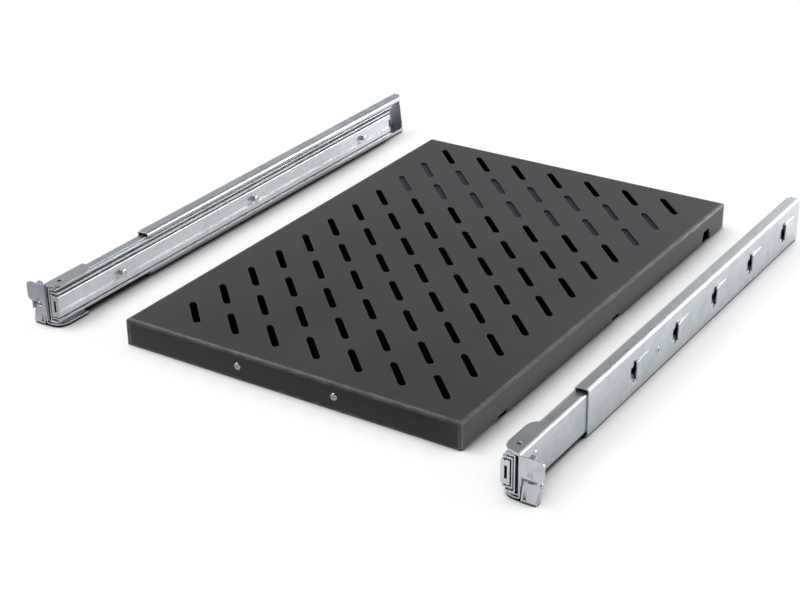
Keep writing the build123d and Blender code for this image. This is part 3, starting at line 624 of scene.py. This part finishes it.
# %% Screw profiles
MM = 0.001


def thread(radius, start, end, pitch=0.7 * MM, depth=0.25 * MM):
    """Ridges of a screw thread: the radius falls and rises once in every pitch."""
    heights = np.arange(start, end, pitch / 2)
    return [(radius - depth * (step % 2), height) for step, height in enumerate(heights)]


def front_screw(length):
    """Shank, thread, and a domed head with a socket."""
    head = length - 1.6 * MM
    return [(0, 0), (1.5 * MM, 0), *thread(2 * MM, 0.3 * MM, head - 0.2 * MM), (2 * MM, head),
            (3.95 * MM, head), (4 * MM, head + 0.25 * MM), (3.8 * MM, head + 0.75 * MM),
            (3.2 * MM, head + 1.2 * MM), (2.4 * MM, length - 0.1 * MM), (1.75 * MM, length),
            (1.6 * MM, length - 0.1 * MM, 1), (1.5 * MM, head + 0.2 * MM, 1), (0, head + 0.1 * MM)]


def depth_screw(length):
    """A thin, wide head with a socket, and a long threaded shank."""
    head = length - 1.2 * MM
    return [(0, 0), (2 * MM, 0), *thread(2.5 * MM, 0.4 * MM, head - 0.1 * MM), (2.5 * MM, head),
            (3.95 * MM, head), (4 * MM, head + 0.2 * MM), (3.6 * MM, head + 0.8 * MM),
            (2.6 * MM, length - 0.05 * MM), (2.1 * MM, length), (1.9 * MM, length - 0.1 * MM, 1),
            (1.8 * MM, head - 0.3 * MM, 1), (0, head - 0.4 * MM)]


print("front screw:", len(front_screw(10 * MM)), "rows for 10 mm")

# %% [markdown]
# ## Profiles of the studs and rivets
#
# A stud has a turned groove under its head, into which the notch of the shelf drops, and a root
# that is struck flat behind the sheet. A rivet has two low domes, since it is struck from both
# ends. Both are cold-formed, so their edges are round and not cut.

# %% Stud and rivet profiles
def stud(length):
    """A riveted root, a shank and a chamfered head."""
    neck, root = length - 1.2 * MM, 1 * MM
    return [(0, 0), (1.6 * MM, 0.1 * MM), (2.5 * MM, 0.4 * MM), (3 * MM, root), (1.5 * MM, root),
            (1.5 * MM, root + 1.4 * MM), (3 * MM, root + 1.4 * MM), (3 * MM, neck - 0.4 * MM),
            (2.8 * MM, neck - 0.2 * MM), (2.8 * MM, neck), (4.2 * MM, neck), (4.5 * MM, neck + 0.3 * MM),
            (4.5 * MM, length - 0.5 * MM), (4 * MM, length - 0.1 * MM), (3.2 * MM, length),
            (1.2 * MM, length - 0.05 * MM), (0, length - 0.3 * MM)]


def rivet(length):
    """Two struck domes with the shank between them."""
    return [(0, 0), (1.2 * MM, 0.06 * MM), (2.1 * MM, 0.26 * MM), (2.7 * MM, 0.6 * MM), (3 * MM, 1 * MM),
            (1.5 * MM, 1 * MM), (1.5 * MM, length - 1 * MM), (3 * MM, length - 1 * MM),
            (2.7 * MM, length - 0.6 * MM), (2.1 * MM, length - 0.26 * MM),
            (1.2 * MM, length - 0.06 * MM), (0, length)]


print("stud and rivet ready")

# %% [markdown]
# ## Profiles of the pin and the balls
#
# The thumb lever turns on a chamfered pin with a flat head. A ball is a half circle turned about
# its own axis. A ready-made sphere would look the same, but the profile takes its place and size
# from the CAD through the same helper as the other parts.

# %% Pin and ball profiles
def pin(length):
    """A chamfered shank with a flat head at the top."""
    return [(0, 0), (1.2 * MM, 0), (1.5 * MM, 0.3 * MM), (1.5 * MM, length - 1 * MM),
            (2.25 * MM, length - 1 * MM), (2.3 * MM, length - 0.9 * MM), (2.3 * MM, length - 0.3 * MM),
            (2 * MM, length), (0, length)]


def ball(length):
    """A sphere: radius r cos t and height r sin t about the middle of its length."""
    turn = np.linspace(-np.pi / 2, np.pi / 2, 13)
    radius = 1.46 * MM
    return [(radius * math.cos(t), length / 2 + radius * math.sin(t)) for t in turn]


print("ball:", len(ball(3 * MM)), "rows")

# %% [markdown]
# ## Turning the small parts
#
# Each node of small parts is turned as one object that takes the node's place, rides on its body
# and keeps its slot. The right slide mirrors the left one, so only the way that a part points
# differs from side to side.

# %% Turn them
stand_in("front_screws", (0,), (0, -1, 0), front_screw)
for side, inward in (("_left", 1), ("_right", -1)):
    stand_in("carrier_studs" + side, (1,), (inward, 0, 0), stud)
    stand_in("head_rivets" + side, (2,), (inward, 0, 0), rivet)
    stand_in("lever_pin" + side, (), (-inward, 0, 0), pin, 24)
    stand_in("depth_screw" + side, (), (-inward, 0, 0), depth_screw)
    stand_in("outer_balls" + side, (1, 2), (0, 0, 1), ball, 24)
    stand_in("inner_balls" + side, (1, 2), (0, 0, 1), ball, 24)
print("turned parts done")

# %% [markdown]
# ## The lever's spring
#
# The spring that holds the thumb lever shut is a wire wound round the pivot, with a leg resting
# on the back of the head and a leg on the lever. The middle of the wire is a helix; a tube follows
# it. A curve object with a bevel would draw the same, and this keeps it one closed mesh.

# %% Spring
SPRING_COILS = 3
TURN_STEPS, LEG_STEPS, WIRE_SIDES = 24, 8, 10
WIRE = 0.33 * MM
LEG = 5 * MM


def tube(path, radius, sides):
    """Points of a round wire along a path. Its ring lies across the path's direction, between two
    directions at right angles to it, and a single point closes each end."""
    ahead = np.gradient(path, axis=0)
    ahead /= np.linalg.norm(ahead, axis=1, keepdims=True)
    first = np.cross(ahead, (1.0, 0.0, 0.0))
    first /= np.linalg.norm(first, axis=1, keepdims=True)
    second = np.cross(ahead, first)
    angle = 2 * np.pi * np.arange(sides) / sides
    rings = path[:, None] + radius * (np.cos(angle)[:, None] * first[:, None]
                                      + np.sin(angle)[:, None] * second[:, None])
    return np.concatenate([path[:1], rings.reshape(-1, 3), path[-1:]])


for side in ("_left", "_right"):
    low, high = (np.array(corner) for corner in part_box("lever_spring" + side))
    centre = (low + high) / 2
    coil = (high[2] - low[2]) / 2 - WIRE
    turn = np.linspace(0, 2 * np.pi * SPRING_COILS, TURN_STEPS * SPRING_COILS + 1)
    sweep = np.linspace(low[0] + WIRE, high[0] - WIRE, len(turn))
    helix = np.stack([sweep, centre[1] + coil * np.cos(turn), centre[2] + coil * np.sin(turn)], axis=-1)
    leg = np.linspace(LEG / LEG_STEPS, LEG, LEG_STEPS)[:, None]
    leg_down = helix[:1] + leg[::-1] * (0, 0, -1)
    leg_up = helix[-1:] + leg * (0, 0, 1)
    path = np.concatenate([leg_down, helix, leg_up])
    wire = new_piece("wound_lever_spring" + side, tube(path, WIRE, WIRE_SIDES),
                     ring_faces(len(path), WIRE_SIDES), "spring_steel")
    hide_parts("lever_spring" + side)
    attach(wire, body_of["lever_spring" + side])
print("springs wound with", SPRING_COILS, "turns")

# %% [markdown]
# ## The floor
#
# The photograph has a white ground that fades to nothing. A big plane does it: for the camera it
# glows white, so it never looks grey, and for all other light it is a plain pale surface. An
# Ambient Occlusion node takes the glow away close to the set and under it, which keeps the shadows
# and leaves the slots of the tray dark, as they are in the photograph. A white backdrop put in
# afterwards would be simpler, but it would lose those shadows.
# Under the tray and close to the set, the ground's own colour is also painted dark as painted shade,
# which keeps the slots black.

# %% Floor plane
FLOOR_SIZE = 30.0
FLOOR_DROP = 0.0002


def flat_square(name, size, height):
    """A square in the floor plane: its four corners are plus and minus half the size."""
    half = size / 2
    mesh = bpy.data.meshes.new(name)
    mesh.from_pydata([(-half, -half, height), (half, -half, height), (half, half, height),
                      (-half, half, height)], [], [(0, 1, 2, 3)])
    piece = bpy.data.objects.new(name, mesh)
    scene.collection.objects.link(piece)
    return piece


floor = flat_square("floor", FLOOR_SIZE, -FLOOR_DROP)
print("floor", FLOOR_SIZE, "m wide")

# %% [markdown]
# ## Places on the floor
#
# The tray's flanges are half matt and mirror the floor at their feet. In the photograph the front
# flange gets darker to the right, and the right flange has a light streak. Three masks on the
# floor's own coordinates mark the places that these come from: the ground in front of the tray, the
# strip beside it on the right, and the ground under it, which is seen through the slots. Placing
# them from the tray's own bounds keeps them right when its size changes.

# %% Floor masks
# The front and strip masks place painted reflections for the flanges; the mask of the ground under the
# tray also places painted shade.
FRONT_FADE = 0.06
STRIP_START, STRIP_FULL, STRIP_FADE, STRIP_END = -0.01, 0.0, 0.05, 0.08
UNDER_SHIFT = (-0.005, 0.027)
UNDER_MARGIN = (0.002, -0.041)
UNDER_FADE = (0.006, 0.010)

ground = bpy.data.materials.new("ground")
ground.use_nodes = True
tree = ground.node_tree
where = add(tree, "ShaderNodeTexCoord")
spread = add(tree, "ShaderNodeSeparateXYZ")
join(tree, (where.outputs["Object"], spread.inputs[0]))
across, along = spread.outputs["X"], spread.outputs["Y"]


def clear_of(axis, coordinate):
    """0 below the tray and 1 clear of it along an axis: the distance |coordinate - centre| is
    compared with half the tray's size and a margin."""
    centre = shelf_middle[axis] + UNDER_SHIFT[axis]
    distance = math_node(tree, "ABSOLUTE", math_node(tree, "SUBTRACT", coordinate, centre))
    edge = shelf_half[axis] + UNDER_MARGIN[axis]
    return ramp(tree, distance, edge, edge + UNDER_FADE[axis])


in_front = math_node(
    tree, "MULTIPLY", ramp(tree, along, shelf_low.y - FRONT_FADE, shelf_low.y, 1.0, 0.0),
    ramp(tree, across, shelf_high.x - FRONT_FADE, shelf_high.x, 1.0, 0.0))
beside = math_node(
    tree, "MULTIPLY", ramp(tree, across, shelf_high.x + STRIP_START, shelf_high.x + STRIP_FULL),
    ramp(tree, across, shelf_high.x + STRIP_FADE, shelf_high.x + STRIP_END, 1.0, 0.0))
clear = math_node(tree, "MAXIMUM", clear_of(0, across), clear_of(1, along))
print("floor masks ready")

# %% [markdown]
# ## The ground's finish
#
# The masks meet here. A Light Path node tells what kind of ray arrives: the camera sees the white
# glow wherever the ground is open, and reflections see a painted reflection, grey in front of the
# tray and white beside it. All other light meets plain pale ground, except under the tray and close
# to the set, where its colour is painted dark as painted shade. Without the split, a floor that
# glows enough to look white would light the set from below and wash its shadows out.

# %% Ground finish
# The two front colours are a painted reflection: the grey that the flanges mirror in front of the tray.
# UNDER_SHADE is painted shade under and near the set.
UNDER_SHADE = (0.004, 0.004, 0.004, 1)
PALE_GROUND = (0.8, 0.8, 0.8, 1)
PAINTED_REFLECTION_LEFT, PAINTED_REFLECTION_RIGHT = (0.36, 0.36, 0.37, 1), (0.11, 0.11, 0.12, 1)
FRONT_START, FRONT_END = 0.10, 0.05
CORNER_REACH = 0.12
OPEN_GLOW = (0.45, 0.92)
OPEN_GROUND = (0.30, 0.60)

shader = tree.nodes["Principled BSDF"]
shader.inputs["Roughness"].default_value = 0.9
shader.inputs["Specular IOR Level"].default_value = 0.0
path = add(tree, "ShaderNodeLightPath")
seen = math_node(tree, "MAXIMUM", path.outputs["Is Camera Ray"], path.outputs["Is Transmission Ray"])
near = add(tree, "ShaderNodeAmbientOcclusion", samples=16)
near.inputs["Distance"].default_value = CORNER_REACH
open_sky = math_node(tree, "MULTIPLY", ramp(tree, near.outputs["AO"], *OPEN_GLOW), clear)
unshaded = math_node(tree, "MULTIPLY", ramp(tree, near.outputs["AO"], *OPEN_GROUND), clear)
rightwards = ramp(tree, across, shelf_low.x - FRONT_START, shelf_high.x - FRONT_END)
front = mixed(tree, rightwards, PAINTED_REFLECTION_LEFT, PAINTED_REFLECTION_RIGHT)
# Reflections see grey in front of the tray: a painted reflection.
mirrored_front = math_node(tree, "MULTIPLY", in_front, path.outputs["Is Glossy Ray"])
pale = mixed(tree, mirrored_front, PALE_GROUND, front)
# Reflections see white glow in the strip beside the tray: a painted reflection.
mirrored_strip = math_node(tree, "MULTIPLY", beside, path.outputs["Is Glossy Ray"])
glow = math_node(tree, "MAXIMUM", math_node(tree, "MULTIPLY", seen, open_sky),
                 math_node(tree, "MULTIPLY", mirrored_strip, unshaded))
white = add(tree, "ShaderNodeEmission")
white.inputs["Strength"].default_value = 1.0
blend = add(tree, "ShaderNodeMixShader")
# Under the tray and close to the set the ground's colour falls to near black: painted shade.
join(tree, (mixed(tree, unshaded, UNDER_SHADE, pale), shader.inputs["Base Color"]),
     (glow, blend.inputs[0]), (shader.outputs[0], blend.inputs[1]), (white.outputs[0], blend.inputs[2]),
     (blend.outputs[0], tree.nodes["Material Output"].inputs["Surface"]))
floor.data.materials.append(ground)
print("ground ready")

# %% [markdown]
# ## Lamps
#
# Four soft boxes light the set, as on a table in a studio: one high on the left, one behind, one on
# the right, and a low one at the back right. Being large, they give the tray its sheen and the
# slides their long highlights without hard shadows. The camera doesn't see them. Point lamps would
# be simpler, but zinc shows them as hard dots.

# %% Lamps
LAMPS = {
    # name: place, target, side of the square in metres, power in watts
    "left box": ((-1.15, -0.35, 1.9), (0, 0, 0), 0.9, 34),
    "back box": ((0.2, 2.0, 1.4), (0, 0.1, 0), 1.0, 10),
    "right box": ((2.1, 0.9, 0.8), (0.3, 0, 0), 1.2, 34),
    "low box": ((1.3, 1.9, 0.35), (0.2, 0, 0), 0.7, 20),
}


def soft_lamp(name, place, target, size, power):
    """A square area lamp at a place, turned to face a target."""
    data = bpy.data.lights.new(name, "AREA")
    data.shape = "SQUARE"
    data.size = size
    data.energy = power
    lamp = bpy.data.objects.new(name, data)
    scene.collection.objects.link(lamp)
    lamp.location = place
    lamp.visible_camera = False
    lamp.rotation_euler = (Vector(target) - Vector(place)).to_track_quat("-Z", "Y").to_euler()
    return lamp


for name, settings in LAMPS.items():
    soft_lamp(name, *settings)
print(len(LAMPS), "soft boxes,", sum(settings[3] for settings in LAMPS.values()), "W")

# %% [markdown]
# ## Sky
#
# The world is the room round the set. The camera sees it white, and it lights the set at half that
# level. What the zinc and the powder coat mirror depends on the height of the ray: bright near the
# horizon and dim overhead, as in a room with pale walls and a dark ceiling. This keeps the tray's
# top dark and lets the upright faces shine.

# %% Sky
SKY_LEVEL = 0.5
WALL_LEVEL, CEILING_LEVEL = 0.90, 0.12
WALL_TOP, CEILING_START = 0.34, 0.50

sky = bpy.data.worlds.new("sky")
scene.world = sky
sky.use_nodes = True
tree = sky.node_tree
background = tree.nodes["Background"]
background.inputs["Color"].default_value = (1, 1, 1, 1)
path = add(tree, "ShaderNodeLightPath")
seen = math_node(tree, "MAXIMUM", path.outputs["Is Camera Ray"], path.outputs["Is Transmission Ray"])
direction = add(tree, "ShaderNodeTexCoord")
heights = add(tree, "ShaderNodeSeparateXYZ")
join(tree, (direction.outputs["Generated"], heights.inputs[0]))
room = ramp(tree, heights.outputs["Z"], WALL_TOP, CEILING_START, WALL_LEVEL, CEILING_LEVEL)
level = ramp(tree, path.outputs["Is Glossy Ray"], 0.0, 1.0, SKY_LEVEL, room)
join(tree, (ramp(tree, seen, 0.0, 1.0, level, 1.0), background.inputs["Strength"]))
scene.view_settings.view_transform = "Standard"
print("sky ready")
